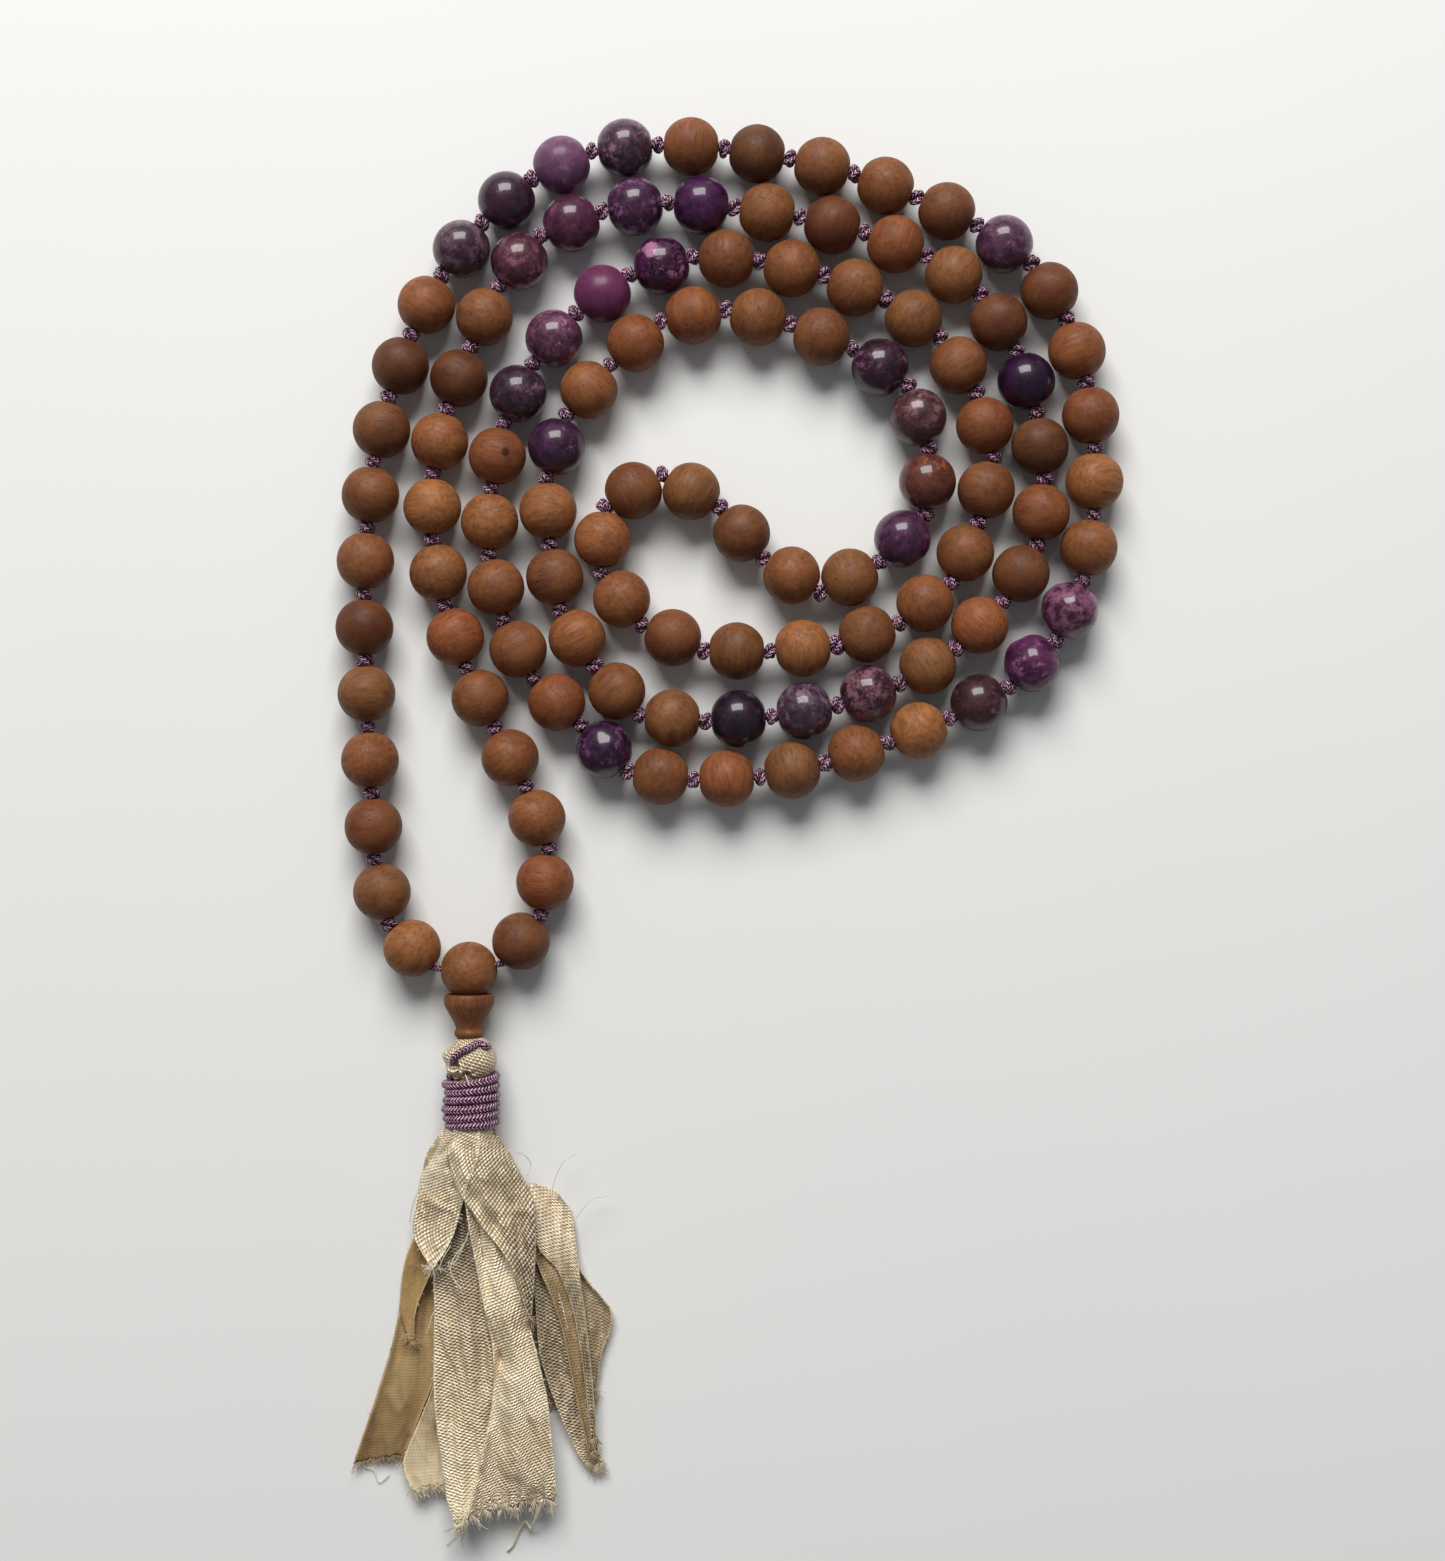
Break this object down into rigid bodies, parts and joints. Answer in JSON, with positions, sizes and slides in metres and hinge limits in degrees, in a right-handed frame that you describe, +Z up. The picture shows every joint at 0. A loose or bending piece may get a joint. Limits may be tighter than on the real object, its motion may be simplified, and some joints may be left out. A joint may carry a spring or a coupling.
{
  "type": "mala prayer beads",
  "caption": "Knotted loop of round wood and stone prayer beads, laid as a flat coil, with a guru bead, a turned stem bead and a strip-silk tassel.",
  "frame": {"origin": "middle of the footprint, on the surface that the beads lie on", "axes": "+Y along the longest side, from the tassel's hem to the coil; +Z straight up from the surface; +X to the right seen from above"},
  "size_m": [0.1108, 0.1978, 0.0084],
  "materials": {
    "wood": "fine-grained sandalwood, polished to a satin",
    "stone": "polished purple mica stone, mottled",
    "cord": "dusty mauve braided cord",
    "silk": "raw silk in cream and golden brown, torn into strips"
  },
  "bodies": {
    "strand": {"wood_run_01": "wood", "wood_run_02": "wood", "wood_run_03": "wood", "wood_run_04": "wood", "wood_run_05": "wood", "wood_run_06": "wood", "wood_run_08": "wood", "wood_run_09": "wood", "wood_run_10": "wood", "wood_run_11": "wood", "wood_run_12": "wood", "wood_run_13": "wood"},
    "coil_end": {"wood_run_07": "wood"},
    "pendant_link_1": {"wood_bead_left_6": "wood", "wood_bead_right_6": "wood"},
    "pendant_link_2": {"wood_bead_left_5": "wood", "wood_bead_right_5": "wood"},
    "pendant_link_3": {"wood_bead_left_4": "wood", "wood_bead_right_4": "wood"},
    "pendant_link_4": {"wood_bead_left_3": "wood", "wood_bead_right_3": "wood"},
    "pendant_link_5": {"wood_bead_left_2": "wood", "wood_bead_right_2": "wood"},
    "guru_link": {"wood_bead_left_1": "wood", "wood_bead_right_1": "wood", "guru_bead": "wood"},
    "tassel_stem": {"tassel_cord": "cord"},
    "stem_bead": {"stem_bead": "wood"},
    "tassel": {"tassel_head": "silk", "cord_loop": "cord", "tassel_wrap": "cord", "skirt_left": "silk", "skirt_centre": "silk", "skirt_right": "silk"},
    "stone_bead_01": {"stone_bead_01": "stone"},
    "stone_bead_02": {"stone_bead_02": "stone"},
    "stone_bead_03": {"stone_bead_03": "stone"},
    "stone_bead_04": {"stone_bead_04": "stone"},
    "stone_bead_05": {"stone_bead_05": "stone"},
    "stone_bead_06": {"stone_bead_06": "stone"},
    "stone_bead_07": {"stone_bead_07": "stone"},
    "stone_bead_08": {"stone_bead_08": "stone"},
    "stone_bead_09": {"stone_bead_09": "stone"},
    "stone_bead_10": {"stone_bead_10": "stone"},
    "stone_bead_11": {"stone_bead_11": "stone"},
    "stone_bead_12": {"stone_bead_12": "stone"},
    "stone_bead_13": {"stone_bead_13": "stone"},
    "stone_bead_14": {"stone_bead_14": "stone"},
    "stone_bead_15": {"stone_bead_15": "stone"},
    "stone_bead_16": {"stone_bead_16": "stone"},
    "stone_bead_17": {"stone_bead_17": "stone"},
    "stone_bead_18": {"stone_bead_18": "stone"},
    "stone_bead_19": {"stone_bead_19": "stone"},
    "stone_bead_20": {"stone_bead_20": "stone"},
    "stone_bead_21": {"stone_bead_21": "stone"},
    "stone_bead_22": {"stone_bead_22": "stone"},
    "stone_bead_23": {"stone_bead_23": "stone"},
    "stone_bead_24": {"stone_bead_24": "stone"},
    "stone_bead_25": {"stone_bead_25": "stone"},
    "stone_bead_26": {"stone_bead_26": "stone"}
  },
  "joints": [
    {"name": "coil_end_lift", "type": "hinge", "parent": "strand", "child": "coil_end", "pos_m": [0.01406, 0.02802, 0.004], "axis": [-0.2872, 0.9579, 0], "range_deg": [0, 25]},
    {"name": "end_tassel_lift", "type": "hinge", "parent": "guru_link", "child": "tassel_stem", "pos_m": [-0.0365, -0.0215, 0.004], "axis": [-1, 0, 0], "range_deg": [0, 60]},
    {"name": "end_tassel_swing", "type": "hinge", "parent": "tassel_stem", "child": "tassel", "pos_m": [-0.0365, -0.0313, 0.004], "axis": [0, 0, 1], "range_deg": [-30, 30]},
    {"name": "fold_1", "type": "hinge", "parent": "strand", "child": "pendant_link_1", "pos_m": [-0.04563, 0.03065, 0.004], "axis": [-0.9903, 0.1386, 0], "range_deg": [0, 20]},
    {"name": "fold_2", "type": "hinge", "parent": "pendant_link_1", "child": "pendant_link_2", "pos_m": [-0.04408, 0.02155, 0.004], "axis": [-0.997, 0.0771, 0], "range_deg": [0, 20]},
    {"name": "fold_3", "type": "hinge", "parent": "pendant_link_2", "child": "pendant_link_3", "pos_m": [-0.0418, 0.01267, 0.004], "axis": [-1, 0.0092, 0], "range_deg": [0, 20]},
    {"name": "fold_4", "type": "hinge", "parent": "pendant_link_3", "child": "pendant_link_4", "pos_m": [-0.03938, 0.00386, 0.004], "axis": [-0.9992, -0.0404, 0], "range_deg": [0, 20]},
    {"name": "fold_5", "type": "hinge", "parent": "pendant_link_4", "child": "pendant_link_5", "pos_m": [-0.03753, -0.00519, 0.004], "axis": [-0.9982, -0.0598, 0], "range_deg": [0, 20]},
    {"name": "fold_6", "type": "hinge", "parent": "pendant_link_5", "child": "guru_link", "pos_m": [-0.03705, -0.01439, 0.004], "axis": [-0.9981, -0.0608, 0], "range_deg": [0, 20]},
    {"name": "stem_bead_spin", "type": "hinge", "parent": "tassel_stem", "child": "stem_bead", "pos_m": [-0.0365, -0.0215, 0.004], "axis": [0, 1, 0], "continuous": true},
    {"name": "stone_bead_01_spin", "type": "hinge", "parent": "strand", "child": "stone_bead_01", "pos_m": [-0.03757, 0.08008, 0.004], "axis": [0.611, 0.7916, 0], "continuous": true},
    {"name": "stone_bead_02_spin", "type": "hinge", "parent": "strand", "child": "stone_bead_02", "pos_m": [-0.03122, 0.08689, 0.004], "axis": [0.747, 0.6649, 0], "continuous": true},
    {"name": "stone_bead_03_spin", "type": "hinge", "parent": "strand", "child": "stone_bead_03", "pos_m": [-0.02346, 0.09193, 0.004], "axis": [0.9111, 0.4122, 0], "continuous": true},
    {"name": "stone_bead_04_spin", "type": "hinge", "parent": "strand", "child": "stone_bead_04", "pos_m": [-0.01455, 0.09432, 0.004], "axis": [0.995, 0.1, 0], "continuous": true},
    {"name": "stone_bead_05_spin", "type": "hinge", "parent": "strand", "child": "stone_bead_05", "pos_m": [0.03889, 0.08077, 0.004], "axis": [0.8235, -0.5673, 0], "continuous": true},
    {"name": "stone_bead_06_spin", "type": "hinge", "parent": "strand", "child": "stone_bead_06", "pos_m": [0.04808, 0.02915, 0.004], "axis": [-0.417, -0.9089, 0], "continuous": true},
    {"name": "stone_bead_07_spin", "type": "hinge", "parent": "strand", "child": "stone_bead_07", "pos_m": [0.04279, 0.02163, 0.004], "axis": [-0.7159, -0.6982, 0], "continuous": true},
    {"name": "stone_bead_08_spin", "type": "hinge", "parent": "strand", "child": "stone_bead_08", "pos_m": [0.03531, 0.01617, 0.004], "axis": [-0.8824, -0.4705, 0], "continuous": true},
    {"name": "stone_bead_09_spin", "type": "hinge", "parent": "strand", "child": "stone_bead_09", "pos_m": [-0.0175, 0.00965, 0.004], "axis": [-0.7118, 0.7024, 0], "continuous": true},
    {"name": "stone_bead_10_spin", "type": "hinge", "parent": "strand", "child": "stone_bead_10", "pos_m": [-0.0296, 0.0597, 0.004], "axis": [0.4324, 0.9017, 0], "continuous": true},
    {"name": "stone_bead_11_spin", "type": "hinge", "parent": "strand", "child": "stone_bead_11", "pos_m": [-0.02454, 0.06746, 0.004], "axis": [0.6508, 0.7592, 0], "continuous": true},
    {"name": "stone_bead_12_spin", "type": "hinge", "parent": "strand", "child": "stone_bead_12", "pos_m": [-0.01772, 0.07376, 0.004], "axis": [0.809, 0.5878, 0], "continuous": true},
    {"name": "stone_bead_13_spin", "type": "hinge", "parent": "strand", "child": "stone_bead_13", "pos_m": [-0.00943, 0.07776, 0.004], "axis": [0.9638, 0.2667, 0], "continuous": true},
    {"name": "stone_bead_14_spin", "type": "hinge", "parent": "strand", "child": "stone_bead_14", "pos_m": [0.02457, 0.03928, 0.004], "axis": [0.7022, 0.712, 0], "continuous": true},
    {"name": "stone_bead_15_spin", "type": "hinge", "parent": "strand", "child": "stone_bead_15", "pos_m": [0.02807, 0.04728, 0.004], "axis": [0.0456, 0.999, 0], "continuous": true},
    {"name": "stone_bead_16_spin", "type": "hinge", "parent": "strand", "child": "stone_bead_16", "pos_m": [0.02676, 0.05637, 0.004], "axis": [-0.3247, 0.9458, 0], "continuous": true},
    {"name": "stone_bead_17_spin", "type": "hinge", "parent": "strand", "child": "stone_bead_17", "pos_m": [0.02137, 0.06341, 0.004], "axis": [-0.8283, 0.5603, 0], "continuous": true},
    {"name": "stone_bead_18_spin", "type": "hinge", "parent": "strand", "child": "stone_bead_18", "pos_m": [-0.02416, 0.05225, 0.004], "axis": [-0.312, -0.9501, 0], "continuous": true},
    {"name": "stone_bead_19_spin", "type": "hinge", "parent": "strand", "child": "stone_bead_19", "pos_m": [0.00144, 0.01391, 0.004], "axis": [0.9981, 0.0608, 0], "continuous": true},
    {"name": "stone_bead_20_spin", "type": "hinge", "parent": "strand", "child": "stone_bead_20", "pos_m": [0.01071, 0.01502, 0.004], "axis": [0.9842, 0.1773, 0], "continuous": true},
    {"name": "stone_bead_21_spin", "type": "hinge", "parent": "strand", "child": "stone_bead_21", "pos_m": [0.01972, 0.01741, 0.004], "axis": [0.9425, 0.3343, 0], "continuous": true},
    {"name": "stone_bead_22_spin", "type": "hinge", "parent": "strand", "child": "stone_bead_22", "pos_m": [0.04198, 0.06139, 0.004], "axis": [-0.2942, 0.9557, 0], "continuous": true},
    {"name": "stone_bead_23_spin", "type": "hinge", "parent": "strand", "child": "stone_bead_23", "pos_m": [-0.00382, 0.08627, 0.004], "axis": [-0.9969, 0.0791, 0], "continuous": true},
    {"name": "stone_bead_24_spin", "type": "hinge", "parent": "strand", "child": "stone_bead_24", "pos_m": [-0.01312, 0.08604, 0.004], "axis": [-0.992, -0.1265, 0], "continuous": true},
    {"name": "stone_bead_25_spin", "type": "hinge", "parent": "strand", "child": "stone_bead_25", "pos_m": [-0.02208, 0.08369, 0.004], "axis": [-0.9262, -0.377, 0], "continuous": true},
    {"name": "stone_bead_26_spin", "type": "hinge", "parent": "strand", "child": "stone_bead_26", "pos_m": [-0.0294, 0.07834, 0.004], "axis": [-0.6404, -0.768, 0], "continuous": true}
  ]
}
